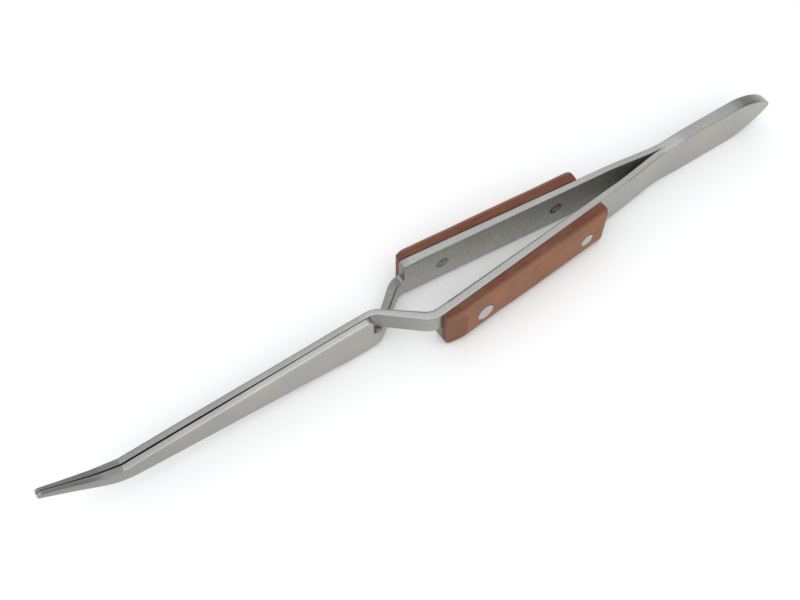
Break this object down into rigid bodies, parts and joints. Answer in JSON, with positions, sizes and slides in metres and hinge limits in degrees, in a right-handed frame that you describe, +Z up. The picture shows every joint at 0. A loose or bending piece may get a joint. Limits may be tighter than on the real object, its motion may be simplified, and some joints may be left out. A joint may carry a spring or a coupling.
{
  "type": "cross-lock tweezers",
  "caption": "Bent-tip cross-lock tweezers: crossed spring-steel blades hold the fine jaws shut, and squeezing the riveted side grips opens them.",
  "frame": {"origin": "middle of the length, in the plane where the two blades meet, on the lower edge of the welded tail", "axes": "+X from the jaws toward the tail, +Y from the left handle to the right handle, +Z up across the blade width, the way the tips bend"},
  "size_m": [0.1655, 0.019, 0.015],
  "materials": {
    "blade_steel": "satin, ground along the blades",
    "grip_fibre": "sanded red-brown vulcanised fibre",
    "rivet_steel": "ground flush"
  },
  "bodies": {
    "tail": {"left_blade_tail": "blade_steel", "right_blade_tail": "blade_steel", "tail_weld": "blade_steel"},
    "left_arm": {"left_blade": "blade_steel", "left_grip": "grip_fibre", "left_front_rivet": "rivet_steel", "left_rear_rivet": "rivet_steel"},
    "right_arm": {"right_blade": "blade_steel", "right_grip": "grip_fibre", "right_front_rivet": "rivet_steel", "right_rear_rivet": "rivet_steel"}
  },
  "joints": [
    {"name": "left_flex", "type": "hinge", "parent": "tail", "child": "left_arm", "pos_m": [0.046, -0.00148, 0.00515], "axis": [0, 0, -1], "range_deg": [0, 5.5], "stiffness_Nm_per_rad": 4, "springref_deg": -4.58},
    {"name": "right_flex", "type": "hinge", "parent": "tail", "child": "right_arm", "pos_m": [0.046, 0.00148, 0.00515], "axis": [0, 0, 1], "range_deg": [0, 5.5], "stiffness_Nm_per_rad": 4, "springref_deg": -4.58}
  ],
  "couplings": [
    {"joint": "right_flex", "follows": "left_flex", "ratio": 1}
  ]
}
